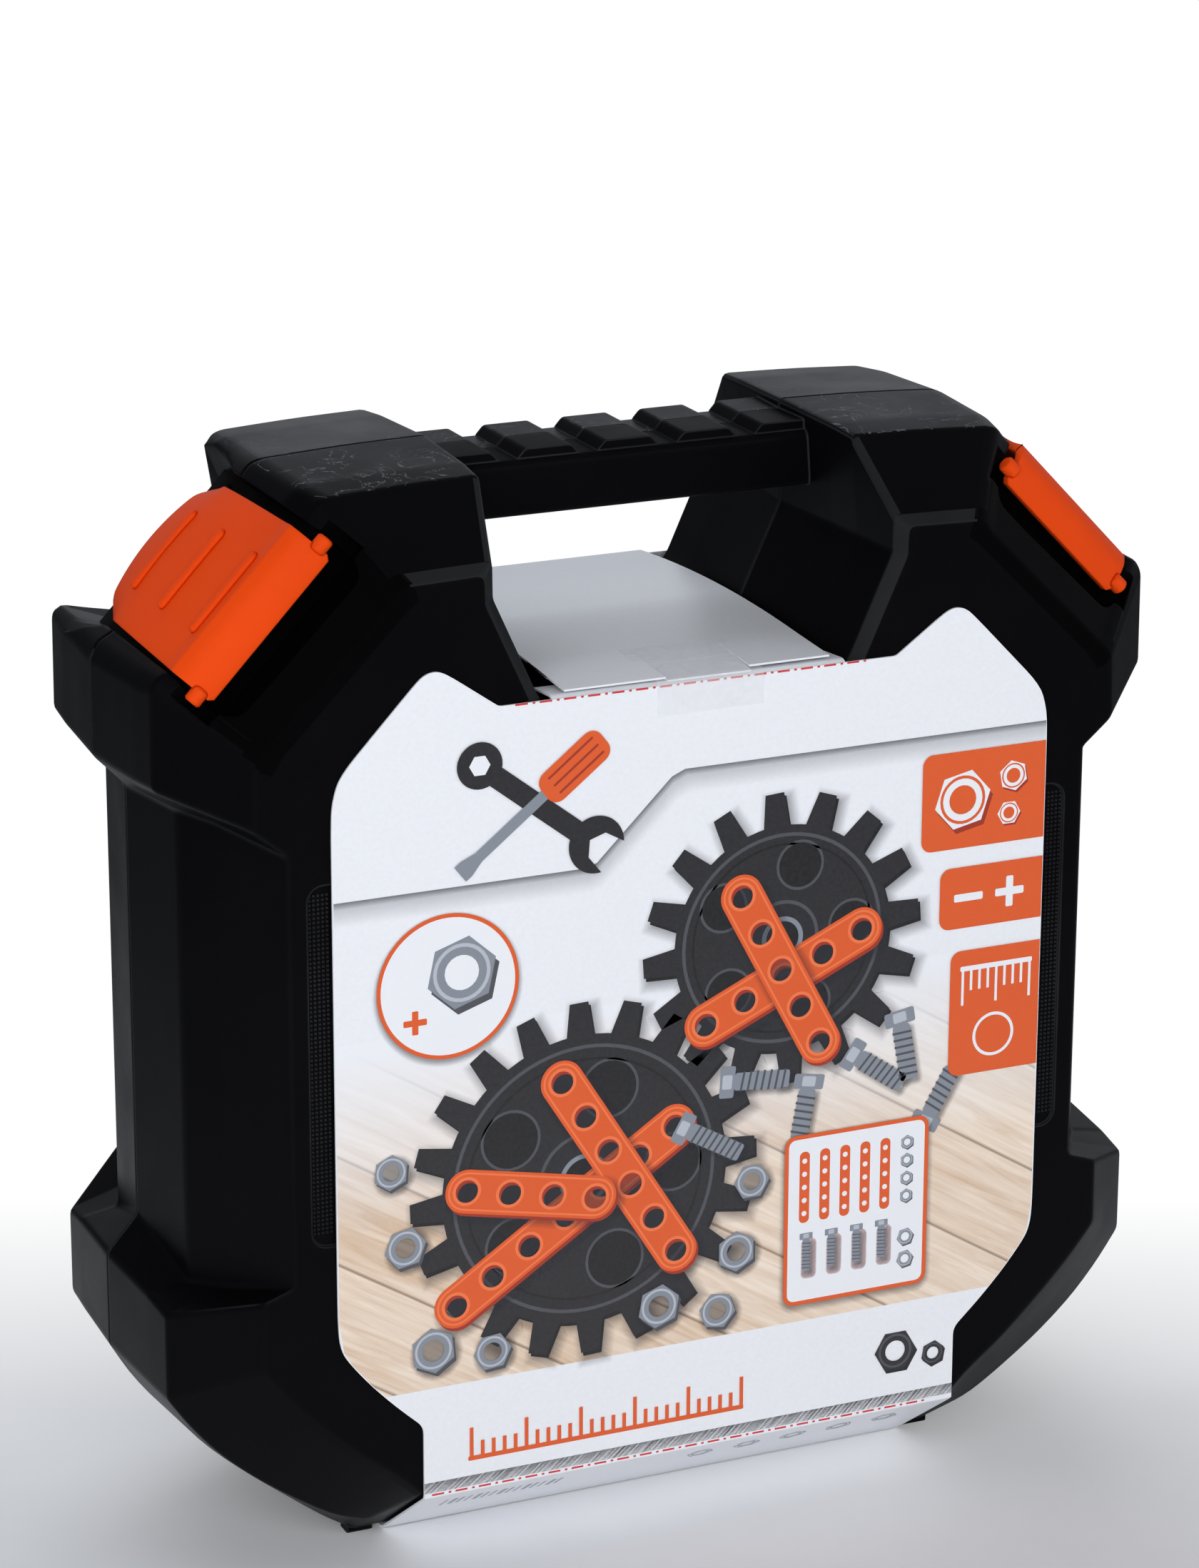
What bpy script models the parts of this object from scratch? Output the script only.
"""Toy tool box: a two-shell case with a split carry handle, side latches, a board sleeve and its toy tools.

Metres, +Z up. X runs along the handle, Y through the depth, the front shell lies at -Y.
The origin is the middle of the footprint on the floor. The shells meet at the plane Y = 0.
"""
import math

import bmesh
import bpy
from mathutils import Matrix, Vector

# Case sizes.
HALF_WIDTH = 0.1335
HEIGHT = 0.2725
HALF_DEPTH = 0.0546
WALL = 0.0024
SEAM = 0.0003
FIT = 0.0003
OVERRUN = 0.004

# Depths of the four traced sections, as shares of the half depth.
LEVEL_shares = (0.0, 0.476, 0.659, 1.0)
# One row per outline corner: (x share of the half width, z share of the height) at each of the depths.
OUTLINE_shares = (
    ("sole_end", (0.5993, 0.0110), (0.5993, 0.0048), (0.5993, 0.0310), (0.5393, 0.0805)),
    ("corner_a", (0.6667, 0.0239), (0.6517, 0.0202), (0.6592, 0.0396), (0.5805, 0.1013)),
    ("corner_b", (0.7378, 0.0484), (0.7311, 0.0506), (0.7266, 0.0602), (0.6517, 0.1277)),
    ("corner_c", (0.8202, 0.0800), (0.8135, 0.0829), (0.8090, 0.0888), (0.7199, 0.1596)),
    ("corner_d", (0.8989, 0.1138), (0.8899, 0.1167), (0.8839, 0.1211), (0.7640, 0.1813)),
    ("corner_e", (0.9573, 0.1490), (0.9461, 0.1512), (0.9401, 0.1534), (0.8060, 0.2040)),
    ("low_lug_foot", (1.0000, 0.1853), (0.9888, 0.1846), (0.9828, 0.1842), (0.8449, 0.2283)),
    ("low_lug_top", (1.0000, 0.2752), (0.9888, 0.2716), (0.9828, 0.2661), (0.8434, 0.2917)),
    ("waist_foot", (0.9401, 0.3083), (0.9124, 0.2771), (0.8652, 0.2826), (0.7865, 0.3009)),
    ("waist_top", (0.9401, 0.7141), (0.9124, 0.7174), (0.8652, 0.7130), (0.7865, 0.6980)),
    ("side_lug_foot", (1.0000, 0.7442), (0.9888, 0.7464), (0.9828, 0.7486), (0.8457, 0.7229)),
    ("side_lug_side", (1.0000, 0.8312), (0.9888, 0.8338), (0.9813, 0.8367), (0.8419, 0.7817)),
    ("side_lug_round", (0.9850, 0.8470), (0.9760, 0.8477), (0.9685, 0.8484), (0.8300, 0.7890)),
    ("side_lug_crown", (0.9581, 0.8532), (0.9498, 0.8528), (0.9438, 0.8528), (0.8150, 0.7963)),
    ("top_lug_end", (0.7071, 0.9820), (0.6951, 0.9806), (0.6779, 0.9783), (0.5858, 0.9086)),
    ("top_lug_round", (0.6936, 0.9905), (0.6816, 0.9886), (0.6667, 0.9864), (0.5738, 0.9182)),
    ("top_lug_crown", (0.6697, 0.9941), (0.6622, 0.9919), (0.6487, 0.9894), (0.5558, 0.9240)),
    ("top_mid", (0.5094, 0.9985), (0.5094, 0.9963), (0.5094, 0.9934), (0.4794, 0.9251)),
    ("window_crown", (0.3513, 1.0000), (0.3581, 0.9978), (0.3633, 0.9952), (0.3963, 0.9259)),
    ("window_kink", (0.3558, 0.9031), (0.3730, 0.9028), (0.3790, 0.9028), (0.3925, 0.9009)),
    ("window_foot", (0.2824, 0.8257), (0.2966, 0.8198), (0.3011, 0.8176), (0.3109, 0.8132)),
    ("window_corner", (0.2667, 0.8044), (0.2772, 0.8007), (0.2809, 0.7993), (0.2884, 0.7956)),
    ("window_floor", (0.0000, 0.8015), (0.0000, 0.7978), (0.0000, 0.7963), (0.0000, 0.7927)),
)
CORNER_NAMES = tuple(row[0] for row in OUTLINE_shares)
WINDOW_CHAMFER = 0.0024

# Textured panel sunk in each broad face, under the sleeve.
PANEL_DEPTH = 0.0008
PANEL_HALF_WIDTH_share = 0.751
PANEL_FOOT_share = 0.335
PANEL_TOP_share = 0.668
PANEL_CORNER = 0.004

# Carry handle, half on each shell.
BAR_HALF_DEPTH = 0.0146
BAR_SETBACK_share = 0.7
BAR_FOOT_share = 0.9314
BAR_TOP_share = 0.9822
BAR_EDGE = 0.0022
BAR_WALL = 0.0022
BLOCK_COUNT = 5
BLOCK_PITCH = 0.021
BLOCK_FLAT = 0.0120
BLOCK_FLANK = 0.0022
BLOCK_RISE = 0.0024

# Hinge along the bottom edge.
HINGE_RADIUS = 0.0020
HINGE_DROP = 0.0003
HINGE_BORE = 0.0011
HINGE_PIN_RADIUS = 0.0008
HINGE_PLACE_share = 0.345
KNUCKLE = 0.009
KNUCKLE_WEB = 0.0032
FOOT_LENGTH = 0.0070
FOOT_DEPTH = 0.0045
FOOT_PLACE_share = 0.5845

# Latch seat across each upper corner, in the corner's own axes: along, through, outward.
SEAT_HALF_LENGTH = 0.0236
SEAT_DEPTH = 0.0075
TROUGH_HALF_LENGTH = 0.0264
TROUGH_DEPTH = 0.0155
TROUGH_FRONT_share = 0.870
TROUGH_BACK_share = 0.640
PIN_FRONT_share = 0.740
PIN_DEPTH = 0.0085
PIN_RADIUS = 0.0019
LATCH_HALF_LENGTH = 0.0214
LATCH_WALL = 0.0022
LATCH_RIB_LENGTH = 0.0260
LATCH_RIB_WIDTH = 0.0022
LATCH_RIB_RISE = 0.0008
CATCH_RISE = 0.0020
CATCH_WIDTH = 0.0030
CATCH_PLACE_share = 0.300
# Latch section: (depth share, outward place as a share of the pin's depth).
LATCH_OUTER_shares = (
    (-0.770, -1.35), (-0.757, -1.12), (-0.659, -0.20), (-0.44, -0.07), (-0.22, -0.01),
    (0.0, 0.02), (0.22, -0.06), (0.36, -0.22), (0.420, -0.45),
)
LATCH_RIB_shares = (-0.495, -0.275, -0.055)

# Board sleeve.
BOARD = 0.0005
SLEEVE_GAP = 0.0003
STRAP_HALF_WIDTH = 0.0726
TOP_STRAP_HALF_WIDTH = 0.0350
STRAP_RISE = 0.0028
TAPE = 0.0002
TAPE_HALF_WIDTH = 0.0130
CREASE_share = 0.0771
SLEEVE_shares = (
    (0.5438, 0.0771), (0.5438, 0.1479), (0.6000, 0.1735), (0.6480, 0.1985), (0.6830, 0.2200),
    (0.7000, 0.2330), (0.7071, 0.2520), (0.7071, 0.7220), (0.7040, 0.7420), (0.6900, 0.7640),
    (0.5560, 0.8330), (0.5330, 0.8440), (0.5109, 0.8470), (0.4900, 0.8435), (0.3903, 0.8088),
)

# Toy tools held in the front shell.
TOOL_PLANE_share = 0.495
CLIP_WALL = 0.0026
CLIP_BASE = 0.016
CLIP_LENGTH = 0.016
CLIP_OPENING = math.radians(42)
HAMMER_PLACE_share = 0.540
HAMMER_FOOT_share = 0.105
HAMMER_HANDLE = 0.120
HAMMER_GRIP_RADIUS = 0.0118
HAMMER_NECK_RADIUS = 0.0088
HAMMER_HEAD = 0.064
HAMMER_FACE_RADIUS = 0.0125
HAMMER_EYE = 0.024
HAMMER_CLIP_share = 0.45
INLAY_RISE = 0.0007
INLAY_DEPTH = 0.0012
DRIVER_PLACE_share = 0.135
DRIVER_FOOT_share = 0.105
DRIVER_GRIP = 0.084
DRIVER_GRIP_RADIUS = 0.0128
DRIVER_BLADE = 0.058
DRIVER_BLADE_RADIUS = 0.0042
DRIVER_TIP_HALF_WIDTH = 0.0070
DRIVER_TIP_THICKNESS = 0.0030
WRENCH_LENGTH = 0.100
WRENCH_SHANK = 0.0120
WRENCH_THICKNESS = 0.0060
WRENCH_HEAD_RADIUS = 0.0125
WRENCH_JAW = 0.0110
WRENCH_START_share = 0.115
WRENCH_HEIGHT_share = 0.150
# Toy power screwdriver.
GUN_NOSE_share = 0.255
GUN_LENGTH = 0.0680
GUN_RADIUS = 0.0160
GUN_HALF_THICKNESS = 0.0150
GUN_DROP = 0.0860
# Height of the lowest point of the grip above the middle of the wrench that lies under it.
GUN_OVER_WRENCH = 0.0216375
GUN_GRIP_WIDTH = 0.0210
GUN_RAKE = 0.0060
GUN_STRAP = 0.0060
GUN_FOOT = 0.0080
GUN_EDGE = 0.0030
TRIGGER_LENGTH = 0.0090
TRIGGER_HEIGHT = 0.0180
TRIGGER_HALF_WIDTH = 0.0045
TRIGGER_TRAVEL = 0.0030
CHUCK_LENGTH = 0.0150
CHUCK_RADIUS = 0.0105
BIT_RADIUS = 0.0034
BIT_LENGTH = 0.0250
BIT_SEAT = 0.0080

# Loose construction pieces lying in the back shell.
STRIP_HOLES = 5
STRIP_PITCH = 0.0215
STRIP_WIDTH = 0.0205
STRIP_THICKNESS = 0.0032
STRIP_BORE = 0.0064
STRIP_LAYERS = (6, 2)
PILE_GAP = 0.0003
BRACKET_LEG = 0.0300
NUT_FLANGE_RADIUS = 0.0110
NUT_FLANGE = 0.0025
NUT_RADIUS = 0.0090
NUT_HEIGHT = 0.0090
NUT_BORE = 0.0060
NUT_COLUMNS = 5
NUT_PITCH = 0.0225
BOLT_LENGTH = 0.0420
BOLT_HEAD = 0.0085
BOLT_HEAD_RADIUS = 0.0088
BOLT_RADIUS = 0.0055
BOLT_ROOT = 0.0046
BOLT_RINGS = 4
BOLT_COLUMNS = 5
BOLT_LAYERS = 2
BOLT_PITCH = 0.0182

SIDES = (-1, 1)
ROUND = 20


def clear_scene():
    """Remove every object that the new file starts with."""
    for item in list(bpy.data.objects):
        bpy.data.objects.remove(item, do_unlink=True)


def make_collection(name):
    """Return a new collection linked to the scene."""
    group = bpy.data.collections.new(name)
    bpy.context.scene.collection.children.link(group)
    return group


def make_material(name, colour, roughness, metallic=0.0):
    """Return a Principled material."""
    material = bpy.data.materials.new(name)
    material.use_nodes = True
    shader = material.node_tree.nodes["Principled BSDF"]
    shader.inputs["Base Color"].default_value = (*colour, 1.0)
    shader.inputs["Roughness"].default_value = roughness
    shader.inputs["Metallic"].default_value = metallic
    return material


def add_object(name, mesh, material=None):
    """Put a mesh in the scene: a part when it has a material, or else a cutter."""
    item = bpy.data.objects.new(name, mesh)
    if material is None:
        CUTTERS.objects.link(item)
        item.hide_render = True
        item.display_type = "WIRE"
    else:
        PARTS.objects.link(item)
        mesh.materials.clear()
        mesh.materials.append(material)
    return item


def mesh_from(bm, name):
    """Close off a bmesh with its faces pointing out."""
    bmesh.ops.recalc_face_normals(bm, faces=bm.faces)
    mesh = bpy.data.meshes.new(name)
    bm.to_mesh(mesh)
    bm.free()
    return mesh


def loft_mesh(name, rings):
    """Skin unlike sections that have the same number of corners, and cap both ends."""
    bm = bmesh.new()
    rows = [[bm.verts.new(point) for point in ring] for ring in rings]
    for lower, upper in zip(rows, rows[1:]):
        for k in range(len(lower)):
            after = (k + 1) % len(lower)
            bm.faces.new((lower[k], lower[after], upper[after]))
            bm.faces.new((lower[k], upper[after], upper[k]))
    caps = [bm.faces.new(rows[0]), bm.faces.new(rows[-1])]
    bm.normal_update()
    bmesh.ops.triangulate(bm, faces=caps)
    return mesh_from(bm, name)


def box_mesh(name, low, high, matrix=None):
    """Return a box between two corners, in the axes of the matrix."""
    bm = bmesh.new()
    bmesh.ops.create_cube(bm, size=1.0)
    size = Vector(high) - Vector(low)
    middle = (Vector(high) + Vector(low)) / 2
    place = Matrix.Translation(middle) @ Matrix.Diagonal((*size, 1.0))
    bmesh.ops.transform(bm, matrix=(matrix or Matrix.Identity(4)) @ place, verts=bm.verts)
    return mesh_from(bm, name)


def rod_mesh(name, radius, start, end, steps=ROUND, end_radius=None):
    """Return a cylinder or a cone between two points."""
    start, end = Vector(start), Vector(end)
    bm = bmesh.new()
    bmesh.ops.create_cone(bm, cap_ends=True, segments=steps, radius1=radius,
                          radius2=radius if end_radius is None else end_radius,
                          depth=(end - start).length)
    turn = Vector((0, 0, 1)).rotation_difference(end - start).to_matrix().to_4x4()
    place = Matrix.Translation((start + end) / 2) @ turn
    bmesh.ops.transform(bm, matrix=place, verts=bm.verts)
    return mesh_from(bm, name)


def evaluated_mesh(item):
    """Return the mesh that an object shows, with its modifiers."""
    bpy.context.view_layer.update()
    graph = bpy.context.evaluated_depsgraph_get()
    return bpy.data.meshes.new_from_object(item.evaluated_get(graph))


def plate_mesh(name, loops, low, high, matrix=None):
    """Extrude a flat outline, with the later loops as its holes, from low to high along its normal."""
    curve = bpy.data.curves.new(name, "CURVE")
    curve.dimensions = "2D"
    curve.fill_mode = "BOTH"
    curve.extrude = (high - low) / 2
    for loop in loops:
        spline = curve.splines.new("POLY")
        spline.points.add(len(loop) - 1)
        for point, (u, v) in zip(spline.points, loop):
            point.co = (u, v, 0.0, 1.0)
        spline.use_cyclic_u = True
    item = bpy.data.objects.new(name, curve)
    CUTTERS.objects.link(item)
    mesh = evaluated_mesh(item)
    bpy.data.objects.remove(item)
    bpy.data.curves.remove(curve)
    bm = bmesh.new()
    bm.from_mesh(mesh)
    bmesh.ops.remove_doubles(bm, verts=bm.verts, dist=min(1e-6, (high - low) / 9))
    lift = Matrix.Translation((0, 0, (high + low) / 2))
    bmesh.ops.transform(bm, matrix=(matrix or Matrix.Identity(4)) @ lift, verts=bm.verts)
    bpy.data.meshes.remove(mesh)
    return mesh_from(bm, name)


def turned_mesh(name, profile, start, axis, steps=ROUND):
    """Turn a profile of (radius, height) pairs with a Screw modifier, along the axis from the start."""
    bm = bmesh.new()
    row = [bm.verts.new((radius, 0.0, height)) for radius, height in reversed(profile)]
    for one, two in zip(row, row[1:]):
        bm.edges.new((one, two))
    mesh = bpy.data.meshes.new(name)
    bm.to_mesh(mesh)
    bm.free()
    item = add_object(name, mesh)
    screw = item.modifiers.new("Turn", "SCREW")
    screw.steps = steps
    screw.render_steps = steps
    screw.use_merge_vertices = True
    screw.merge_threshold = 1e-6
    turned = evaluated_mesh(item)
    bpy.data.objects.remove(item)
    bm = bmesh.new()
    bm.from_mesh(turned)
    bmesh.ops.dissolve_degenerate(bm, edges=bm.edges, dist=1e-7)
    turn = Vector((0, 0, 1)).rotation_difference(Vector(axis)).to_matrix().to_4x4()
    bmesh.ops.transform(bm, matrix=Matrix.Translation(start) @ turn, verts=bm.verts)
    return mesh_from(bm, name)


def apply_tool(item, operation, mesh):
    """Join a solid to an object, or cut it away, with an exact Boolean."""
    cutter = add_object(f"{item.name}_tool_{len(item.modifiers)}", mesh)
    change = item.modifiers.new(operation.title(), "BOOLEAN")
    change.operation = operation
    change.solver = "EXACT"
    change.object = cutter
    return cutter


def join(item, mesh):
    """Add a solid to an object."""
    return apply_tool(item, "UNION", mesh)


def cut(item, mesh):
    """Take a solid away from an object."""
    return apply_tool(item, "DIFFERENCE", mesh)


def soften(item, width, segments=2, angle=math.radians(35)):
    """Round an object's edges."""
    bevel = item.modifiers.new("Edges", "BEVEL")
    bevel.width = width
    bevel.segments = segments
    bevel.limit_method = "ANGLE"
    bevel.angle_limit = angle
    bevel.harden_normals = False


def bake(item):
    """Replace an object's mesh by what its modifiers make of it."""
    mesh = evaluated_mesh(item)
    item.modifiers.clear()
    item.data = mesh
    return item


def set_origin(item, point):
    """Move an object's origin without moving its shape."""
    item.data.transform(Matrix.Translation(-Vector(point)))
    item.location = point


def hang(child, parent):
    """Parent one object to another where it stands."""
    bpy.context.view_layer.update()
    child.parent = parent
    child.matrix_parent_inverse = parent.matrix_world.inverted()


def placed(prefix, mesh, places, material):
    """Return one object for each place, all of the same shape."""
    items = []
    for k, place in enumerate(places):
        item = add_object(f"{prefix}_{k + 1}", mesh.copy(), material)
        item.matrix_world = place
        items.append(item)
    bpy.data.meshes.remove(mesh)
    return items


def arc(centre, radius, start, end, steps):
    """Return points along an arc, both ends included."""
    points = []
    for k in range(steps + 1):
        angle = start + (end - start) * k / steps
        points.append((centre[0] + radius * math.cos(angle), centre[1] + radius * math.sin(angle)))
    return points


def circle(centre, radius, steps=ROUND):
    """Return the corners of a circle."""
    return arc(centre, radius, 0.0, 2 * math.pi * (steps - 1) / steps, steps - 1)


def rounded_box(low, high, radius, steps=3):
    """Return a rectangle with round corners."""
    quarter = math.pi / 2
    corners = ((high[0] - radius, low[1] + radius, -1), (high[0] - radius, high[1] - radius, 0),
               (low[0] + radius, high[1] - radius, 1), (low[0] + radius, low[1] + radius, 2))
    points = []
    for u, v, turn in corners:
        points += arc((u, v), radius, turn * quarter, (turn + 1) * quarter, steps)
    return points


# Axes for plates: the outline's (u, v) become these world axes, and the extrusion the third.
FACE_XZ = Matrix(((1, 0, 0, 0), (0, 0, 1, 0), (0, 1, 0, 0), (0, 0, 0, 1)))
FACE_YZ = Matrix(((0, 0, 1, 0), (1, 0, 0, 0), (0, 1, 0, 0), (0, 0, 0, 1)))


def outline_at(level):
    """Return the right half of the case outline at a depth given as a share of the half depth."""
    points = []
    for row in OUTLINE_shares:
        pairs = row[1:]
        for k in range(len(LEVEL_shares) - 1):
            if level <= LEVEL_shares[k + 1] or k == len(LEVEL_shares) - 2:
                break
        span = (level - LEVEL_shares[k]) / (LEVEL_shares[k + 1] - LEVEL_shares[k])
        x = pairs[k][0] + (pairs[k + 1][0] - pairs[k][0]) * span
        z = pairs[k][1] + (pairs[k + 1][1] - pairs[k][1]) * span
        points.append((x * HALF_WIDTH, z * HEIGHT))
    return points


def corner_point(name, level=0.0):
    """Return one named corner of the outline at a depth share."""
    return outline_at(level)[CORNER_NAMES.index(name)]


def full_loop(half):
    """Mirror a half outline into a closed loop, counter-clockwise seen from the front."""
    return half + [(-x, z) for x, z in reversed(half[:-1])]


def inset_loop(loop, distance):
    """Move each side of a closed loop inward by a distance."""
    moved = []
    for k, point in enumerate(loop):
        before = Vector(point) - Vector(loop[k - 1])
        after = Vector(loop[(k + 1) % len(loop)]) - Vector(point)
        one = Vector((-before.y, before.x)).normalized()
        two = Vector((-after.y, after.x)).normalized()
        moved.append(tuple(Vector(point) + (one + two) * distance / (1 + one.dot(two))))
    return moved


def ring_at(loop, y):
    """Lift a loop of (x, z) pairs to a depth."""
    return [(x, y, z) for x, z in loop]


def corner_frame(side):
    """Return the axes of a latch corner: along the corner, through the case, outward."""
    low = Vector(corner_point("side_lug_crown"))
    high = Vector(corner_point("top_lug_end"))
    along = (high - low).normalized()
    middle = (low + high) / 2
    frame = Matrix((
        (side * along.x, 0, side * along.y, side * middle.x),
        (0, 1, 0, 0),
        (along.y, 0, -along.x, middle.y),
        (0, 0, 0, 1),
    ))
    return frame


HINGE_HEIGHT = corner_point("sole_end")[1] - HINGE_DROP
INNER_FACE = HALF_DEPTH - WALL
PIN_PLACE = (-PIN_FRONT_share * HALF_DEPTH, -PIN_DEPTH)
TOOL_PLANE = -TOOL_PLANE_share * HALF_DEPTH


def shell_body(name, side, material):
    """Return the hollow half case, before its fittings."""
    front_share = INNER_FACE / HALF_DEPTH
    rings = []
    for level in (*LEVEL_shares[:-1], front_share):
        y = side * max(level * HALF_DEPTH, SEAM / 2)
        rings.append(ring_at(full_loop(outline_at(level)), y))
    half = outline_at(1.0)
    inner = inset_loop(full_loop(half), WINDOW_CHAMFER)
    first = CORNER_NAMES.index("window_kink")
    face = half[:first] + inner[first:len(half)]
    crown = CORNER_NAMES.index("window_crown")
    face[crown] = (inner[crown][0], half[crown][1])
    rings.append(ring_at(full_loop(face), side * HALF_DEPTH))
    shell = add_object(name, loft_mesh(name, rings), material)

    hollow = []
    for level in (*LEVEL_shares[:-1], front_share):
        loop = inset_loop(full_loop(outline_at(level)), WALL)
        if level == 0.0:
            hollow.append(ring_at(loop, -side * OVERRUN))
        hollow.append(ring_at(loop, side * level * HALF_DEPTH))
    cavity = cut(shell, loft_mesh(name + "_cavity", hollow))
    for corner in SIDES:
        frame = corner_frame(corner)
        cut(cavity, box_mesh("seat_backing", (-SEAT_HALF_LENGTH - WALL, -2 * HALF_DEPTH, -SEAT_DEPTH - WALL),
                             (SEAT_HALF_LENGTH + WALL, 2 * HALF_DEPTH, SEAT_DEPTH), frame))
        cut(shell, box_mesh("seat", (-SEAT_HALF_LENGTH, -TROUGH_FRONT_share * HALF_DEPTH, -SEAT_DEPTH),
                            (SEAT_HALF_LENGTH, 2 * HALF_DEPTH, SEAT_DEPTH), frame))
        if side < 0:
            low = -TROUGH_FRONT_share * HALF_DEPTH
            high = -TROUGH_BACK_share * HALF_DEPTH
            length = TROUGH_HALF_LENGTH
            cut(cavity, box_mesh("trough_backing", (-length - WALL, low - WALL, -TROUGH_DEPTH - WALL),
                                 (length + WALL, high + WALL, SEAT_DEPTH), frame))
            cut(shell, box_mesh("trough", (-length, low, -TROUGH_DEPTH), (length, high, SEAT_DEPTH), frame))
    return shell


def add_panel(shell, side):
    """Sink the textured panel into the broad face."""
    half = PANEL_HALF_WIDTH_share * HALF_WIDTH
    outline = rounded_box((-half, PANEL_FOOT_share * HEIGHT), (half, PANEL_TOP_share * HEIGHT), PANEL_CORNER)
    ends = sorted((side * (HALF_DEPTH - PANEL_DEPTH), side * (HALF_DEPTH + OVERRUN)))
    cut(shell, plate_mesh("panel", [outline], *ends, FACE_XZ))


def bar_profile():
    """Return the handle's outline seen from the front, with its row of grip blocks."""
    half = corner_point("window_crown")[0] + WALL / 2
    foot = BAR_FOOT_share * HEIGHT
    top = BAR_TOP_share * HEIGHT
    points = [(-half, foot), (half, foot)]
    upper = []
    for k in range(BLOCK_COUNT):
        centre = (k - (BLOCK_COUNT - 1) / 2) * BLOCK_PITCH
        reach = BLOCK_FLAT / 2
        for x, z in ((-reach - BLOCK_FLANK, top), (-reach, top + BLOCK_RISE),
                     (reach, top + BLOCK_RISE), (reach + BLOCK_FLANK, top)):
            upper.append((centre + x, z))
    inside = [point for point in upper if abs(point[0]) < half]
    ends = top + BLOCK_RISE if len(upper) != len(inside) and inside[0][1] > top else top
    return points + [(half, ends)] + inside[::-1] + [(-half, ends)]


def add_handle(shell, side):
    """Join the half handle: a ribbed channel, open toward the parting plane."""
    ends = sorted((side * SEAM * BAR_SETBACK_share, side * BAR_HALF_DEPTH))
    bar = add_object(shell.name + "_bar", plate_mesh("bar", [bar_profile()], *ends, FACE_XZ))
    half = corner_point("window_crown")[0] - BAR_WALL
    foot = BAR_FOOT_share * HEIGHT + BAR_WALL
    top = BAR_TOP_share * HEIGHT - BAR_WALL
    bays = BLOCK_COUNT - 1
    pitch = 2 * half / bays
    for k in range(bays):
        start = -half + k * pitch + BAR_WALL / 2
        low, high = sorted((-side * OVERRUN, side * (BAR_HALF_DEPTH - BAR_WALL)))
        cut(bar, box_mesh("bay", (start, low, foot), (start + pitch - BAR_WALL, high, top)))
    edge = side * BAR_HALF_DEPTH
    corner = [(edge, top + BAR_WALL - BAR_EDGE), (edge + side * OVERRUN, top + BAR_WALL - BAR_EDGE),
              (edge + side * OVERRUN, top + BLOCK_RISE + OVERRUN + BAR_WALL),
              (edge - side * (BAR_EDGE + BLOCK_RISE), top + BLOCK_RISE + OVERRUN + BAR_WALL),
              (edge - side * BAR_EDGE, top + BAR_WALL)]
    cut(bar, plate_mesh("bar_edge", [corner], -HALF_WIDTH, HALF_WIDTH, FACE_YZ))
    mesh = evaluated_mesh(bar)
    bpy.data.objects.remove(bar)
    join(shell, mesh)


def knuckle_spans(owner):
    """Return the x ranges of the hinge knuckles that a shell owns: the outer two or the middle one."""
    spans = []
    for side in SIDES:
        centre = side * HINGE_PLACE_share * HALF_WIDTH
        for k in (-1, 0, 1):
            if (k == 0) == (owner < 0):
                start = centre + (k - 0.5) * KNUCKLE + FIT / 2
                spans.append((start, start + KNUCKLE - FIT))
    return spans


def add_hinge(shell, side):
    """Cut the other shell's knuckle notches, then join this shell's own bored knuckles and feet."""
    floor = HINGE_HEIGHT + HINGE_DROP + WALL
    for start, end in knuckle_spans(-side):
        reach = sorted((-side * OVERRUN, side * (HINGE_RADIUS + FIT)))
        cut(shell, box_mesh("notch", (start - FIT, reach[0], -OVERRUN),
                            (end + FIT, reach[1], floor + FIT)))
    for start, end in knuckle_spans(side):
        reach = sorted((0.0, side * KNUCKLE_WEB))
        join(shell, box_mesh("web", (start + FIT, reach[0], HINGE_HEIGHT - HINGE_RADIUS / 3),
                             (end - FIT, reach[1], floor - FIT)))
        join(shell, rod_mesh("knuckle", HINGE_RADIUS, (start, 0, HINGE_HEIGHT), (end, 0, HINGE_HEIGHT)))
    for corner in SIDES:
        centre = corner * HINGE_PLACE_share * HALF_WIDTH
        reach = 1.5 * KNUCKLE + OVERRUN
        cut(shell, rod_mesh("bore", HINGE_BORE, (centre - reach, 0, HINGE_HEIGHT),
                            (centre + reach, 0, HINGE_HEIGHT), 12))
        sole = corner_point("sole_end", LEVEL_shares[1])[1]
        outer = LEVEL_shares[1] * HALF_DEPTH
        depth = sorted((side * (outer - FIT), side * (outer - FIT - FOOT_DEPTH)))
        place = corner * FOOT_PLACE_share * HALF_WIDTH
        join(shell, box_mesh("foot", (place - FOOT_LENGTH / 2, depth[0], 0.0),
                             (place + FOOT_LENGTH / 2, depth[1], sole + WALL)))


def add_latch_mounts(shell, side):
    """Bore the latch bearings in the front shell, or raise the catch bars on the back shell."""
    for corner in SIDES:
        frame = corner_frame(corner)
        if side < 0:
            reach = TROUGH_HALF_LENGTH + WALL + OVERRUN
            start = frame @ Vector((-reach, *PIN_PLACE))
            end = frame @ Vector((reach, *PIN_PLACE))
            cut(shell, rod_mesh("bearing", PIN_RADIUS + FIT, start, end))
        else:
            place = CATCH_PLACE_share * HALF_DEPTH
            join(shell, box_mesh("catch", (-LATCH_HALF_LENGTH, place, -SEAT_DEPTH - WALL / 2),
                                 (LATCH_HALF_LENGTH, place + CATCH_WIDTH, -SEAT_DEPTH + CATCH_RISE), frame))


def make_shell(name, side, material):
    """Return one complete half of the case."""
    shell = shell_body(name, side, material)
    add_panel(shell, side)
    add_handle(shell, side)
    add_hinge(shell, side)
    add_latch_mounts(shell, side)
    set_origin(shell, (0, 0, HINGE_HEIGHT))
    return shell


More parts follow.
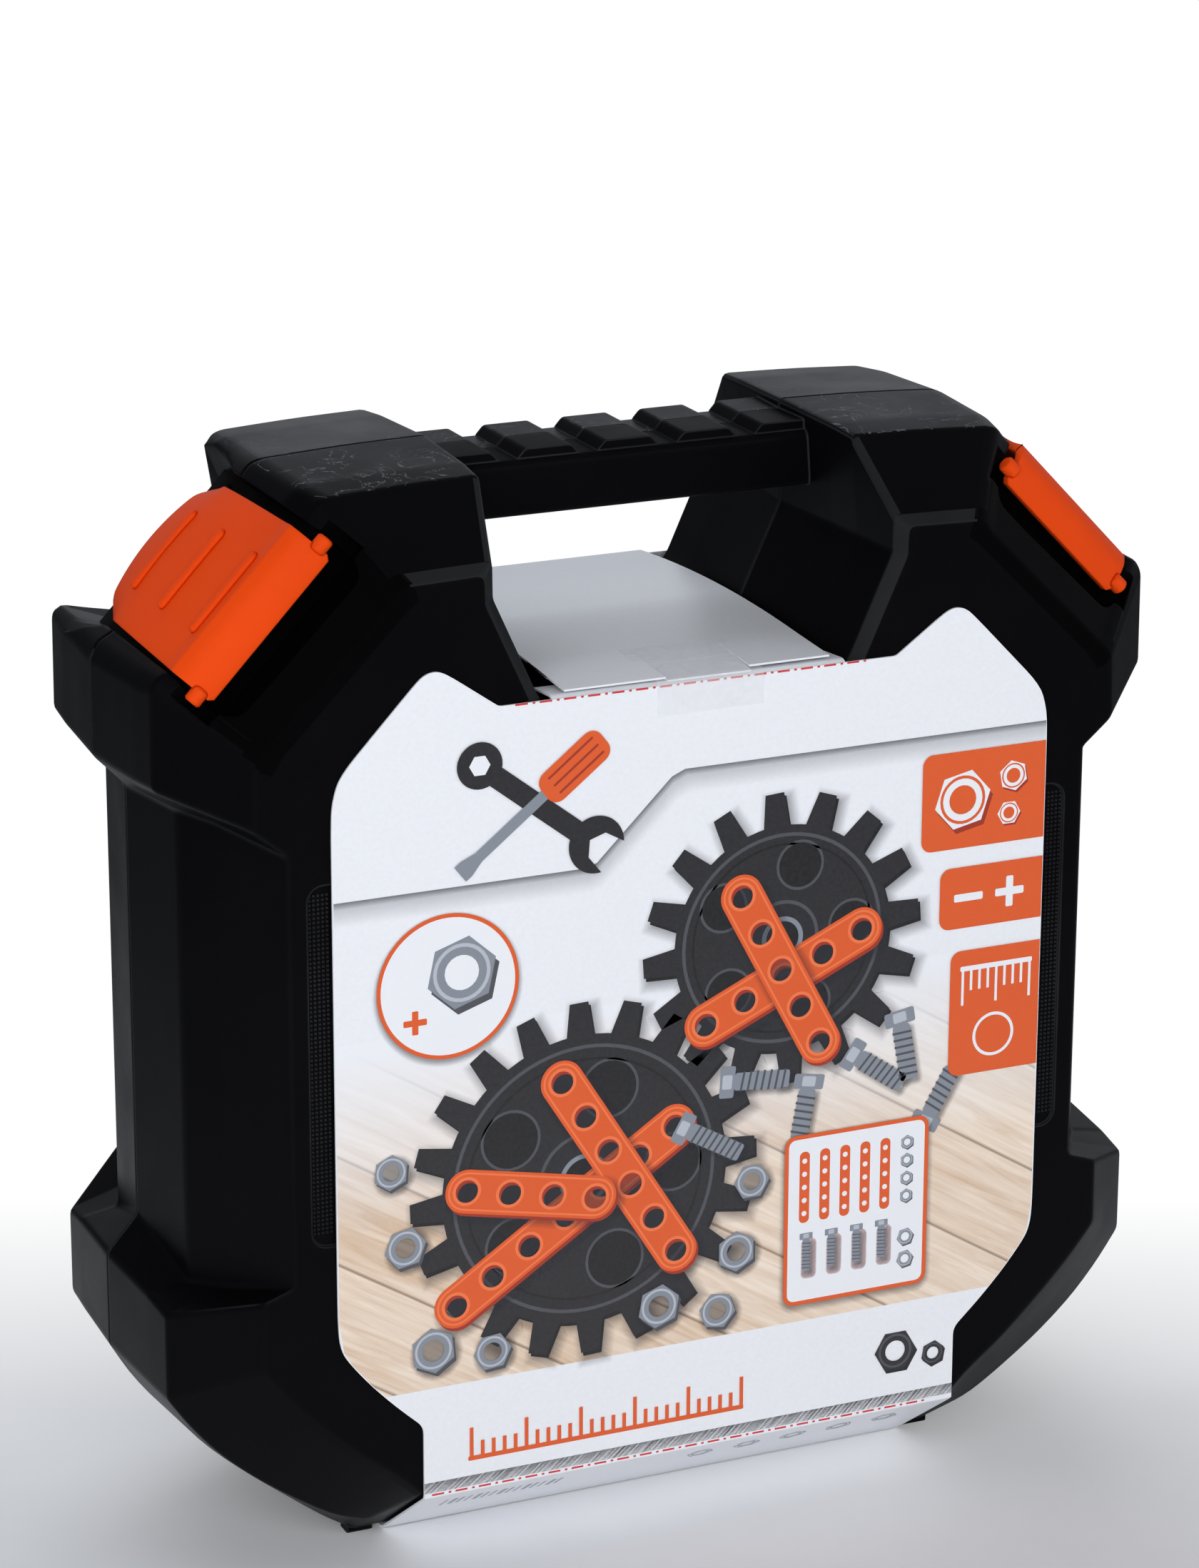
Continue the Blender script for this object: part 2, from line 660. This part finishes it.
def make_latch(name, corner, material):
    """Return a latch plate with its pin stubs and grip ribs, its origin on the pin's axis."""
    frame = corner_frame(corner)
    outer = [(u * HALF_DEPTH, v * PIN_DEPTH) for u, v in LATCH_OUTER_shares]
    strip = [Vector(point) for point in outer]
    under = []
    for k, point in enumerate(strip):
        before = strip[max(k - 1, 0)]
        after = strip[min(k + 1, len(strip) - 1)]
        run = (after - before).normalized()
        under.append(tuple(point + Vector((run.y, -run.x)) * LATCH_WALL))
    loop = outer + under[::-1]
    axes = frame @ FACE_YZ
    latch = add_object(name, plate_mesh(name, [loop], -LATCH_HALF_LENGTH, LATCH_HALF_LENGTH, axes), material)
    reach = TROUGH_HALF_LENGTH + WALL * 0.8
    join(latch, rod_mesh("pin", PIN_RADIUS, frame @ Vector((-reach, *PIN_PLACE)),
                         frame @ Vector((reach, *PIN_PLACE))))
    for share in LATCH_RIB_shares:
        y = share * HALF_DEPTH
        row = max(k for k, point in enumerate(outer) if point[0] <= y)
        one, two = outer[row], outer[row + 1]
        crown = one[1] + (two[1] - one[1]) * (y - one[0]) / (two[0] - one[0])
        half = LATCH_RIB_LENGTH / 2
        rib = rounded_box((-half, y - LATCH_RIB_WIDTH / 2), (half, y + LATCH_RIB_WIDTH / 2),
                          LATCH_RIB_WIDTH * 0.45)
        join(latch, plate_mesh("rib", [rib], crown - LATCH_WALL / 2, crown + LATCH_RIB_RISE, frame))
    set_origin(latch, frame @ Vector((0, *PIN_PLACE)))
    return latch


def make_hinge_pin(name, side, material):
    """Return one of the two hinge pins."""
    centre = side * HINGE_PLACE_share * HALF_WIDTH
    reach = 1.5 * KNUCKLE - FIT / 2
    return add_object(name, rod_mesh(name, HINGE_PIN_RADIUS, (centre - reach, 0, HINGE_HEIGHT),
                                     (centre + reach, 0, HINGE_HEIGHT), 12), material)


def sleeve_half(name, side, material):
    """Return the broad panel of the sleeve with its sloping foot, for the front or the rear."""
    skin = HALF_DEPTH + SLEEVE_GAP
    half = [(x * HALF_WIDTH, z * HEIGHT) for x, z in SLEEVE_shares]
    loop = half + [(-x, z) for x, z in reversed(half)]
    ends = sorted((side * skin, side * (skin + BOARD)))
    panel = add_object(name, plate_mesh(name, [loop], *ends, FACE_XZ), material)
    crease = CREASE_share * HEIGHT
    fold = LEVEL_shares[1] * HALF_DEPTH + BOARD
    slope = [(skin + BOARD, crease + BOARD * 4), (skin + BOARD, crease), (fold, BOARD / 3),
             (fold - BOARD, BOARD / 3), (fold - BOARD, BOARD / 3 + BOARD),
             (fold - BOARD / 4, BOARD / 3 + BOARD), (skin, crease + BOARD / 2), (skin, crease + BOARD * 4)]
    join(panel, plate_mesh("slope", [[(side * u, v) for u, v in slope]],
                           -STRAP_HALF_WIDTH, STRAP_HALF_WIDTH, FACE_YZ))
    return panel


def strap_line():
    """Return the top strap's bowed centre line as (y, z) pairs, from the rear to the front."""
    seat = SLEEVE_shares[-1][1] * HEIGHT + BOARD
    reach = HALF_DEPTH + SLEEVE_GAP + BOARD / 2
    line = []
    steps = 10
    for k in range(steps + 1):
        y = reach * (1 - 2 * k / steps)
        line.append((y, seat + STRAP_RISE * (1 - (y / reach) ** 2)))
    return line


def thick_line(line, thickness):
    """Return the closed outline of a line given a thickness above it."""
    upper = [(u, v + thickness) for u, v in line]
    return line + upper[::-1]


def make_sleeve(material, tape_material):
    """Return the sleeve's pieces: the front board, the rear board with its top strap, the foot and the tape."""
    front = sleeve_half("sleeve_front", -1, material)
    rear = sleeve_half("sleeve_rear", 1, material)
    line = strap_line()
    half = TOP_STRAP_HALF_WIDTH
    join(rear, plate_mesh("top_strap", [thick_line(line, BOARD)], -half, half, FACE_YZ))
    skin = HALF_DEPTH + SLEEVE_GAP
    join(rear, box_mesh("turn", (-half, skin, line[0][1] - 3 * BOARD), (half, skin + BOARD, line[0][1] + BOARD)))
    fold = LEVEL_shares[1] * HALF_DEPTH - FIT
    bottom = add_object("sleeve_bottom", box_mesh("sleeve_bottom", (-STRAP_HALF_WIDTH, -fold, BOARD / 3),
                                                  (STRAP_HALF_WIDTH, fold, BOARD / 3 + BOARD)), material)
    line = [(u, v + BOARD + FIT / 2) for u, v in line[-3:]]
    patch = add_object("sleeve_tape", plate_mesh(
        "sleeve_tape", [thick_line(line, TAPE)], -TAPE_HALF_WIDTH, TAPE_HALF_WIDTH, FACE_YZ), tape_material)
    return front, rear, bottom, patch


def clip_loop(radius, foot):
    """Return a spring clip's outline: an open ring on a block that reaches down to the foot."""
    inner = radius + FIT
    outer = inner + CLIP_WALL
    half = CLIP_BASE / 2
    start = -math.acos(half / outer)
    lips = math.pi / 2 - CLIP_OPENING
    ring = arc((0, 0), outer, start, lips, 8)
    ring += arc((0, 0), inner, lips, -math.pi - lips, 16)
    ring += arc((0, 0), outer, -math.pi - lips, -math.pi - start, 8)
    return [(-half, -foot), (half, -foot)] + ring


def upright_clip(name, place, height, radius, material):
    """Return a clip round an upright handle, seated on the front shell's inner face."""
    foot = INNER_FACE + TOOL_PLANE - FIT
    loop = [(place + u, TOOL_PLANE + v) for u, v in clip_loop(radius, foot)]
    return add_object(name, plate_mesh(name, [loop], height - CLIP_LENGTH / 2, height + CLIP_LENGTH / 2),
                      material)


def make_hammer(grip_material, head_material):
    """Return the hammer's handle, head and inlay, and its clip."""
    place = -HAMMER_PLACE_share * HALF_WIDTH
    foot = HAMMER_FOOT_share * HEIGHT
    grip = HAMMER_GRIP_RADIUS
    neck = HAMMER_NECK_RADIUS
    profile = ((0, 0), (grip * 0.7, 0), (grip, grip * 0.35), (grip * 0.94, HAMMER_HANDLE * 0.35),
               (grip, HAMMER_HANDLE * 0.72), (neck, HAMMER_HANDLE * 0.80), (neck, HAMMER_HANDLE),
               (0, HAMMER_HANDLE))
    handle = add_object("hammer_handle", turned_mesh("hammer_handle", profile,
                                                     (place, TOOL_PLANE, foot), (0, 0, 1)), grip_material)
    inlay_loop = rounded_box((-grip * 0.5, -HAMMER_HANDLE * 0.15), (grip * 0.5, HAMMER_HANDLE * 0.15),
                             grip * 0.46, 5)
    centre = foot + HAMMER_HANDLE * 0.22
    back = TOOL_PLANE + grip * 0.94
    frame = Matrix.Translation((place, 0, centre)) @ FACE_XZ
    cut(handle, plate_mesh("pocket", [inset_loop(inlay_loop, -FIT)], back - INLAY_DEPTH - FIT,
                           back + OVERRUN, frame))
    inlay = add_object("hammer_inlay", plate_mesh("hammer_inlay", [inlay_loop], back - INLAY_DEPTH,
                                                  back + INLAY_RISE, frame), head_material)
    eye = HAMMER_EYE / 2
    base = foot + HAMMER_HANDLE + FIT
    axis = base + eye
    reach = HAMMER_HEAD / 2
    face = HAMMER_FACE_RADIUS
    head = add_object("hammer_head", box_mesh("hammer_head", (place - eye, TOOL_PLANE - eye * 0.8, base),
                                              (place + eye, TOOL_PLANE + eye * 0.8, base + 2 * eye)),
                      head_material)
    soften(head, eye * 0.2)
    join(head, turned_mesh("face", ((0, 0), (face * 0.9, 0), (face, face * 0.12), (face, face * 0.7),
                                    (face * 0.72, face), (face * 0.72, reach), (0, reach)),
                           (place - reach, TOOL_PLANE, axis), (1, 0, 0)))
    peen = [(place, axis - eye * 0.7), (place + reach, axis - eye * 0.15), (place + reach, axis + eye * 0.1),
            (place, axis + eye * 0.75)]
    join(head, plate_mesh("peen", [peen], TOOL_PLANE - eye * 0.6, TOOL_PLANE + eye * 0.6, FACE_XZ))
    clip = upright_clip("hammer_clip", place, foot + HAMMER_HANDLE * HAMMER_CLIP_share, grip, grip_material)
    return handle, head, inlay, clip


def make_screwdriver(grip_material, blade_material):
    """Return the screwdriver's handle, blade and inlay, and its clip."""
    place = -DRIVER_PLACE_share * HALF_WIDTH
    foot = DRIVER_FOOT_share * HEIGHT
    grip = DRIVER_GRIP_RADIUS
    length = DRIVER_GRIP
    blade_radius = DRIVER_BLADE_RADIUS
    profile = ((0, 0), (grip * 0.6, 0), (grip * 0.92, grip * 0.3), (grip, grip * 0.8), (grip, length * 0.62),
               (grip * 0.72, length * 0.74), (grip * 0.85, length * 0.86), (grip * 0.8, length), (0, length))
    handle = add_object("screwdriver_handle", turned_mesh("screwdriver_handle", profile,
                                                          (place, TOOL_PLANE, foot), (0, 0, 1)),
                        grip_material)
    loop = rounded_box((-grip * 0.45, -length * 0.2), (grip * 0.45, length * 0.2), grip * 0.42, 5)
    back = TOOL_PLANE + grip * 0.97
    frame = Matrix.Translation((place, 0, foot + length * 0.30)) @ FACE_XZ
    cut(handle, plate_mesh("pocket", [inset_loop(loop, -FIT)], back - INLAY_DEPTH - FIT,
                           back + OVERRUN, frame))
    inlay = add_object("screwdriver_inlay", plate_mesh("screwdriver_inlay", [loop], back - INLAY_DEPTH,
                                                       back + INLAY_RISE, frame), blade_material)
    seat = foot + length - grip
    cut(handle, rod_mesh("bore", blade_radius + FIT, (place, TOOL_PLANE, seat - FIT),
                         (place, TOOL_PLANE, foot + length + OVERRUN)))
    tip = foot + length + DRIVER_BLADE
    blade = add_object("screwdriver_blade", rod_mesh("screwdriver_blade", blade_radius,
                                                     (place, TOOL_PLANE, seat), (place, TOOL_PLANE, tip)),
                       blade_material)
    wide = DRIVER_TIP_HALF_WIDTH
    flare = [(place - wide * 0.45, tip - wide * 2.4), (place + wide * 0.45, tip - wide * 2.4),
             (place + wide, tip - wide * 1.2), (place + wide * 0.85, tip), (place - wide * 0.85, tip),
             (place - wide, tip - wide * 1.2)]
    thick = DRIVER_TIP_THICKNESS / 2
    cut(blade, box_mesh("tip_flat", (place - wide, TOOL_PLANE + thick, tip - wide * 1.6),
                        (place + wide, TOOL_PLANE + wide, tip + wide)))
    cut(blade, box_mesh("tip_flat", (place - wide, TOOL_PLANE - wide, tip - wide * 1.6),
                        (place + wide, TOOL_PLANE - thick, tip + wide)))
    join(blade, plate_mesh("flare", [flare], TOOL_PLANE - thick * 0.98, TOOL_PLANE + thick * 0.98, FACE_XZ))
    clip = upright_clip("screwdriver_clip", place, foot + length * 0.46, grip, grip_material)
    return handle, blade, inlay, clip


def make_wrench(material, clip_material):
    """Return the wrench, open at one end with a ring at the other, and its clip."""
    start = WRENCH_START_share * HALF_WIDTH + WRENCH_HEAD_RADIUS
    height = WRENCH_HEIGHT_share * HEIGHT
    end = start + WRENCH_LENGTH - 2 * WRENCH_HEAD_RADIUS
    radius = WRENCH_HEAD_RADIUS
    half = WRENCH_SHANK / 2
    bite = math.asin(half / radius)
    jaw = WRENCH_JAW / 2
    mouth = math.asin(jaw / radius)
    loop = arc((start, height), radius, bite, math.pi - mouth, 8)
    loop += arc((start, height), jaw, math.pi / 2, -math.pi / 2, 6)
    loop += arc((start, height), radius, math.pi + mouth, 2 * math.pi - bite, 8)
    loop += arc((end, height), radius, math.pi + bite, 3 * math.pi - bite, 18)
    middle = TOOL_PLANE - WRENCH_THICKNESS
    wrench = add_object("wrench", plate_mesh("wrench", [loop, circle((end, height), radius * 0.58, 6)],
                                             middle - WRENCH_THICKNESS / 2, middle + WRENCH_THICKNESS / 2,
                                             FACE_XZ), material)
    reach = half + FIT
    outer = reach + CLIP_WALL
    floor = -INNER_FACE + FIT
    seat = middle - WRENCH_THICKNESS / 2 - FIT
    lip = middle + WRENCH_THICKNESS / 2 + FIT
    section = [(floor, height - outer), (lip + CLIP_WALL * 0.6, height - outer),
               (lip + CLIP_WALL * 0.6, height - reach + CLIP_WALL * 0.3), (lip, height - reach + CLIP_WALL * 0.3),
               (lip, height - reach), (seat, height - reach), (seat, height + reach), (lip, height + reach),
               (lip, height + reach - CLIP_WALL * 0.3), (lip + CLIP_WALL * 0.6, height + reach - CLIP_WALL * 0.3),
               (lip + CLIP_WALL * 0.6, height + outer), (floor, height + outer)]
    centre = (start + end) / 2
    clip = add_object("wrench_clip", plate_mesh("wrench_clip", [section], centre - CLIP_LENGTH / 2,
                                                centre + CLIP_LENGTH / 2, FACE_YZ), clip_material)
    return wrench, clip


def gun_sizes():
    """Return the toy power screwdriver's main places as (x, z) values."""
    nose = GUN_NOSE_share * HALF_WIDTH
    axis = WRENCH_HEIGHT_share * HEIGHT + GUN_OVER_WRENCH + GUN_DROP
    tail = nose + GUN_LENGTH
    return nose, axis, tail


def make_gun(body, accent, metal):
    """Return the toy power screwdriver's pieces and its clip."""
    nose, axis, tail = gun_sizes()
    radius = GUN_RADIUS
    grip_back = tail - GUN_STRAP - FIT
    grip_front = grip_back - GUN_GRIP_WIDTH
    foot = axis - GUN_DROP
    rake = GUN_RAKE
    outline = [(nose, axis - radius * 0.8), (nose, axis + radius * 0.8), (nose + radius * 0.3, axis + radius),
               (tail - radius * 0.6, axis + radius), (tail, axis + radius * 0.4), (tail, axis + FIT),
               (grip_back, axis), (grip_back - rake * 0.4, axis - radius), (grip_back + rake, foot),
               (grip_front + rake, foot), (grip_front - rake * 0.4, axis - radius * 1.9),
               (grip_front - rake * 0.8, axis - radius)]
    halves = []
    for name, low, high in (("driver_shell_outer", -GUN_HALF_THICKNESS, -FIT / 2),
                            ("driver_shell_inner", FIT / 2, GUN_HALF_THICKNESS)):
        half = add_object(name, plate_mesh(name, [outline], TOOL_PLANE + low, TOOL_PLANE + high, FACE_XZ), body)
        halves.append(half)
    slot_low = axis - radius * 1.25 - TRIGGER_HEIGHT
    slot_high = slot_low + TRIGGER_HEIGHT
    slot_end = grip_front + TRIGGER_LENGTH * 0.55 + TRIGGER_TRAVEL
    wide = TRIGGER_HALF_WIDTH
    for half in halves:
        cut(half, box_mesh("slot", (grip_front - radius, TOOL_PLANE - wide - FIT, slot_low - FIT),
                           (slot_end + FIT, TOOL_PLANE + wide + FIT, slot_high + FIT)))
    trigger_start = slot_end - TRIGGER_TRAVEL - TRIGGER_LENGTH
    trigger = add_object("driver_trigger", box_mesh(
        "driver_trigger", (trigger_start, TOOL_PLANE - wide, slot_low),
        (trigger_start + TRIGGER_LENGTH, TOOL_PLANE + wide, slot_high)), metal)
    soften(trigger, wide * 0.25)
    set_origin(trigger, (trigger_start, TOOL_PLANE, (slot_low + slot_high) / 2))
    strap_loop = [(tail, axis), (tail - rake * 0.4, axis - radius), (tail + rake, foot),
                  (grip_back + rake + FIT, foot), (grip_back - rake * 0.4 + FIT, axis - radius),
                  (grip_back + FIT, axis - FIT)]
    strap = add_object("driver_back_strap", plate_mesh("driver_back_strap", [strap_loop],
                                                       TOOL_PLANE - GUN_HALF_THICKNESS * 0.9,
                                                       TOOL_PLANE + GUN_HALF_THICKNESS * 0.9, FACE_XZ), accent)
    foot_high = foot - FIT
    base = add_object("driver_foot", box_mesh(
        "driver_foot", (grip_front + rake - FIT, TOOL_PLANE - GUN_HALF_THICKNESS, foot_high - GUN_FOOT),
        (tail + rake, TOOL_PLANE + GUN_HALF_THICKNESS, foot_high)), body)
    soften(base, GUN_EDGE * 0.5)
    reach = CHUCK_RADIUS
    chuck_end = nose - FIT
    profile = ((0, BIT_SEAT), (BIT_RADIUS + FIT, BIT_SEAT), (BIT_RADIUS + FIT, 0), (reach * 0.62, 0),
               (reach * 0.8, CHUCK_LENGTH * 0.2), (reach * 0.8, CHUCK_LENGTH * 0.35),
               (reach, CHUCK_LENGTH * 0.45), (reach, CHUCK_LENGTH * 0.9), (reach * 0.9, CHUCK_LENGTH),
               (0, CHUCK_LENGTH))
    chuck_start = (chuck_end - CHUCK_LENGTH, TOOL_PLANE, axis)
    chuck = add_object("driver_chuck", turned_mesh("driver_chuck", profile, chuck_start, (1, 0, 0)), metal)
    set_origin(chuck, (chuck_end - CHUCK_LENGTH / 2, TOOL_PLANE, axis))
    bit_end = chuck_end - CHUCK_LENGTH + BIT_SEAT - FIT
    bit = add_object("driver_bit", turned_mesh(
        "driver_bit", ((0, 0), (BIT_RADIUS * 0.35, 0), (BIT_RADIUS * 0.8, BIT_RADIUS * 1.6),
                       (BIT_RADIUS * 0.8, BIT_LENGTH * 0.45), (BIT_RADIUS, BIT_LENGTH * 0.55),
                       (BIT_RADIUS, BIT_LENGTH), (0, BIT_LENGTH)),
        (bit_end - BIT_LENGTH, TOOL_PLANE, axis), (1, 0, 0), 6), metal)
    inner_half = GUN_HALF_THICKNESS + FIT
    floor = -INNER_FACE + FIT
    outer = radius + FIT + CLIP_WALL
    rest = TOOL_PLANE - inner_half
    cradle_loop = [(floor, axis - outer), (TOOL_PLANE, axis - outer), (TOOL_PLANE, axis - radius - FIT),
                   (rest, axis - radius - FIT), (rest, axis + radius + FIT), (TOOL_PLANE, axis + radius + FIT),
                   (TOOL_PLANE, axis + outer), (floor, axis + outer)]
    centre = nose + radius + CLIP_LENGTH / 2
    cradle = add_object("driver_cradle", plate_mesh("driver_cradle", [cradle_loop], centre - CLIP_LENGTH / 2,
                                                    centre + CLIP_LENGTH / 2, FACE_YZ), accent)
    return (*halves, trigger, strap, base, chuck, bit, cradle)


def strip_loops(holes):
    """Return a strip's outline and its row of holes, centred, along u."""
    reach = (holes - 1) / 2 * STRIP_PITCH
    radius = STRIP_WIDTH / 2
    outline = arc((reach, 0), radius, -math.pi / 2, math.pi / 2, 6)
    outline += arc((-reach, 0), radius, math.pi / 2, 3 * math.pi / 2, 6)
    rings = [circle((-reach + k * STRIP_PITCH, 0), STRIP_BORE, 8) for k in range(holes)]
    return [outline] + rings


def pile_row_places():
    """Return the depths of the two rows in which the loose pieces lie."""
    first = SEAM + WALL + STRIP_WIDTH / 2
    return first, first + STRIP_WIDTH + WALL


def pile_floor(y):
    """Return the height at which a strip centred at this depth clears the back shell's sloping floor."""
    outer = y + STRIP_WIDTH / 2
    return max(corner_point("sole_end", level / HALF_DEPTH)[1] for level in (0.0, outer)) + WALL + PILE_GAP


def make_strips(material):
    """Return the five-hole strips, stacked flat in two rows, and the height of each stack."""
    mesh = plate_mesh("strip", strip_loops(STRIP_HOLES), 0.0, STRIP_THICKNESS)
    places = []
    tops = []
    for y, layers in zip(pile_row_places(), STRIP_LAYERS):
        for layer in range(layers):
            height = pile_floor(y) + layer * (STRIP_THICKNESS + PILE_GAP)
            places.append(Matrix.Translation((0, y, height)))
        tops.append(pile_floor(y) + layers * (STRIP_THICKNESS + PILE_GAP))
    return placed("strip", mesh, places, material), tops


def make_nuts(material, tops):
    """Return the flanged nuts, one row on each stack of strips, and the height above them."""
    nut = add_object("nut_blank", rod_mesh("nut", NUT_RADIUS, (0, 0, NUT_FLANGE / 2), (0, 0, NUT_HEIGHT), 6))
    join(nut, rod_mesh("flange", NUT_FLANGE_RADIUS, (0, 0, 0), (0, 0, NUT_FLANGE), 12))
    cut(nut, rod_mesh("bore", NUT_BORE, (0, 0, -OVERRUN), (0, 0, NUT_HEIGHT + OVERRUN), 10))
    mesh = evaluated_mesh(nut)
    bpy.data.objects.remove(nut)
    places = []
    for y, top in zip(pile_row_places(), tops):
        for k in range(NUT_COLUMNS):
            x = (k - (NUT_COLUMNS - 1) / 2) * NUT_PITCH
            places.append(Matrix.Translation((x, y, top)))
    return placed("nut", mesh, places, material), max(tops) + NUT_HEIGHT + PILE_GAP


def make_bolts(material, floor):
    """Return the coarse-threaded bolts, lying in layers across the nuts, and the height above them."""
    head = BOLT_HEAD
    length = BOLT_LENGTH
    pitch = (length - head) / (BOLT_RINGS + 0.5)
    profile = [(0, head / 2), (BOLT_ROOT, head / 2), (BOLT_ROOT, head)]
    for k in range(BOLT_RINGS):
        start = head + k * pitch
        profile += [(BOLT_RADIUS, start + pitch * 0.45), (BOLT_ROOT, start + pitch * 0.95)]
    profile += [(BOLT_ROOT, length - pitch * 0.2), (BOLT_ROOT * 0.8, length), (0, length)]
    bolt = add_object("bolt_blank", turned_mesh("bolt", profile, (0, 0, 0), (0, 0, 1), 8))
    join(bolt, rod_mesh("head", BOLT_HEAD_RADIUS, (0, 0, 0), (0, 0, head), 6))
    mesh = evaluated_mesh(bolt)
    bpy.data.objects.remove(bolt)
    front = sum(pile_row_places()) / 2 - length / 2
    lift = BOLT_HEAD_RADIUS * math.cos(math.radians(30))
    lie = Matrix.Rotation(math.radians(-90), 4, "X") @ Matrix.Rotation(math.radians(30), 4, "Z")
    places = []
    for layer in range(BOLT_LAYERS):
        height = floor + lift + layer * (2 * lift + PILE_GAP)
        for k in range(BOLT_COLUMNS):
            x = (k - (BOLT_COLUMNS - 1) / 2) * BOLT_PITCH
            places.append(Matrix.Translation((x, front, height)) @ lie)
    return placed("bolt", mesh, places, material), floor + BOLT_LAYERS * (2 * lift + PILE_GAP)


def make_brackets(material, floor):
    """Return the angle brackets, standing in two pairs on the heads of the bolts."""
    leg = BRACKET_LEG
    reach = leg - STRIP_WIDTH / 2
    brackets = []
    outline = [(STRIP_THICKNESS, -STRIP_WIDTH / 2)]
    outline += arc((reach, 0), STRIP_WIDTH / 2, -math.pi / 2, math.pi / 2, 8)
    outline += [(STRIP_THICKNESS, STRIP_WIDTH / 2)]
    outline = [(0, -STRIP_WIDTH / 2)] + outline[1:-1] + [(0, STRIP_WIDTH / 2)]
    hole = circle((reach, 0), STRIP_BORE, 12)
    stand = Matrix(((0, 0, 1, 0), (0, 1, 0, 0), (1, 0, 0, 0), (0, 0, 0, 1)))
    turns = [(pair, side) for pair in SIDES for side in SIDES]
    for k, (pair, side) in enumerate(turns):
        name = f"bracket_{k + 1}"
        item = add_object(name, plate_mesh(name, [outline, hole], 0.0, STRIP_THICKNESS), material)
        join(item, plate_mesh("leg", [outline, hole], 0.0, STRIP_THICKNESS, stand))
        bake(item)
        item.rotation_euler = (0, 0, 0 if side > 0 else math.pi)
        centre = pair * (leg + PILE_GAP)
        item.location = (centre + side * PILE_GAP / 2, pile_row_places()[0], floor)
        brackets.append(item)
    return brackets


clear_scene()
PARTS = make_collection("toy_tool_box")
CUTTERS = make_collection("cutters")
BLACK = make_material("black_plastic", (0.020, 0.021, 0.024), 0.42)
ORANGE = make_material("orange_plastic", (0.80, 0.115, 0.020), 0.38)
GREY = make_material("grey_plastic", (0.26, 0.30, 0.36), 0.40)
BOARD_WHITE = make_material("white_board", (0.86, 0.87, 0.90), 0.28)
TAPE_CLEAR = make_material("clear_tape", (0.80, 0.81, 0.84), 0.15)

back_shell = make_shell("back_shell", 1, BLACK)
front_shell = make_shell("front_shell", -1, BLACK)
latch_right = make_latch("latch_right", 1, ORANGE)
latch_left = make_latch("latch_left", -1, ORANGE)
hinge_pins = [make_hinge_pin("hinge_pin_left", -1, GREY), make_hinge_pin("hinge_pin_right", 1, GREY)]
sleeve_pieces = make_sleeve(BOARD_WHITE, TAPE_CLEAR)
sleeve_front, sleeve_rear, sleeve_bottom, sleeve_tape = sleeve_pieces
tools = (*make_hammer(ORANGE, GREY), *make_screwdriver(ORANGE, GREY), *make_wrench(GREY, ORANGE),
         *make_gun(BLACK, ORANGE, GREY))
strip_pieces, strip_tops = make_strips(ORANGE)
nuts, nut_top = make_nuts(GREY, strip_tops)
bolts, bolt_top = make_bolts(GREY, nut_top)
bracket_pieces = make_brackets(ORANGE, bolt_top)

hang(front_shell, back_shell)
for piece in (latch_right, latch_left, sleeve_front, *tools):
    hang(piece, front_shell)
for piece in (*hinge_pins, sleeve_rear, sleeve_bottom, sleeve_tape, *strip_pieces, *nuts, *bolts,
              *bracket_pieces):
    hang(piece, back_shell)
